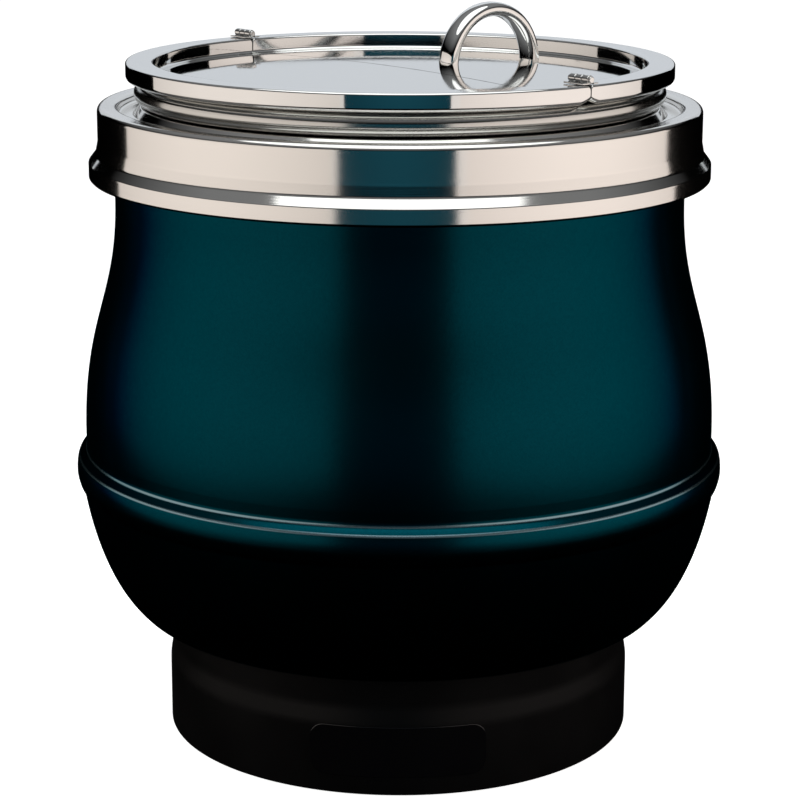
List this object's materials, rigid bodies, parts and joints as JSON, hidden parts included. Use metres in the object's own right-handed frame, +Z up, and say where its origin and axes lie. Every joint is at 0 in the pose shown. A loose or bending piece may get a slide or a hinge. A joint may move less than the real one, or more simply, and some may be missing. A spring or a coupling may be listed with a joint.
{
  "type": "soup kettle",
  "caption": "Round wet-heat soup kettle: painted bowl body on a plinth, polished steel collar, lift-out pot and a lid split on a hinged diameter with a loop handle.",
  "frame": {"origin": "centre of the footprint, on the plane that the rubber feet stand on", "axes": "+Z up along the axis of the pot; the badge faces -Y and the controls are at the rear, +Y"},
  "size_m": [0.343, 0.343, 0.3844],
  "materials": {
    "body_paint": "dark blue-green metallic paint, satin gloss",
    "base_plastic": "black moulded, semi-matte",
    "badge": "black, blank",
    "lid_steel": "mirror-polished stainless steel",
    "handle_steel": "mirror-polished stainless steel",
    "collar_steel": "bright stainless with faint turning lines",
    "hinge_steel": "bright stainless steel",
    "pot_steel": "satin spun stainless steel",
    "well_steel": "dull stainless steel",
    "rubber": "matte black",
    "zinc_steel": "zinc plated",
    "aluminium": "cast, matte",
    "silicone": "red-brown silicone, matte",
    "mineral_wool": "fibrous",
    "white_plastic": "off-white moulded",
    "amber_lens": "amber, translucent",
    "brass": "machined",
    "copper": "drawn copper",
    "live_wire": "brown insulation",
    "neutral_wire": "blue insulation"
  },
  "bodies": {
    "housing": {"badge_plate": "badge", "base_plate": "zinc_steel", "base_ring": "base_plastic", "base_screw_1": "zinc_steel", "base_screw_2": "zinc_steel", "base_screw_3": "zinc_steel", "base_screw_4": "zinc_steel", "body_shell": "body_paint", "capillary_tube": "copper", "clamp_stud_1": "zinc_steel", "clamp_stud_2": "zinc_steel", "clamp_stud_3": "zinc_steel", "clamp_stud_4": "zinc_steel", "collar_band": "collar_steel", "collar_seal": "rubber", "control_panel": "well_steel", "cord_gland": "base_plastic", "earth_stud": "brass", "element_clamp": "zinc_steel", "element_nut": "zinc_steel", "element_plate": "aluminium", "element_stud": "zinc_steel", "gland_nut": "base_plastic", "heating_element": "well_steel", "insulation_blanket": "mineral_wool", "live_lead": "live_wire", "neutral_lead": "neutral_wire", "pilot_lamp_body": "white_plastic", "pilot_lamp_lens": "amber_lens", "rubber_foot_1": "rubber", "rubber_foot_2": "rubber", "rubber_foot_3": "rubber", "rubber_foot_4": "rubber", "stud_nut_1": "zinc_steel", "stud_nut_2": "zinc_steel", "stud_nut_3": "zinc_steel", "stud_nut_4": "zinc_steel", "terminal_block": "white_plastic", "thermal_cutout": "aluminium", "thermostat_body": "white_plastic", "thermostat_bulb": "copper", "water_well": "well_steel", "well_gasket": "silicone"},
    "pot": {"inner_pot": "pot_steel"},
    "lid_fixed": {"lid_fixed_half": "lid_steel", "front_hinge_fixed_leaf": "hinge_steel", "front_hinge_pin": "hinge_steel", "rear_hinge_fixed_leaf": "hinge_steel", "rear_hinge_pin": "hinge_steel"},
    "lid_opening": {"lid_opening_half": "lid_steel", "lid_loop_handle": "handle_steel", "loop_screw_1": "hinge_steel", "loop_screw_2": "hinge_steel", "front_hinge_opening_leaf": "hinge_steel", "rear_hinge_opening_leaf": "hinge_steel"},
    "knob": {"control_knob": "base_plastic", "knob_pointer": "white_plastic", "thermostat_shaft": "brass"}
  },
  "joints": [
    {"name": "pot_lift", "type": "slide", "parent": "housing", "child": "pot", "axis": [0, 0, 1], "range_m": [0, 0.24]},
    {"name": "lid_lift", "type": "slide", "parent": "pot", "child": "lid_fixed", "axis": [0, 0, 1], "range_m": [0, 0.08]},
    {"name": "lid_hinge", "type": "hinge", "parent": "lid_fixed", "child": "lid_opening", "pos_m": [0, 0, 0.361], "axis": [0.6428, -0.766, 0], "range_deg": [0, 160]},
    {"name": "knob_turn", "type": "hinge", "parent": "housing", "child": "knob", "pos_m": [-0.08004, 0.10244, 0.021], "axis": [0.6157, -0.788, 0], "range_deg": [0, 270]}
  ]
}
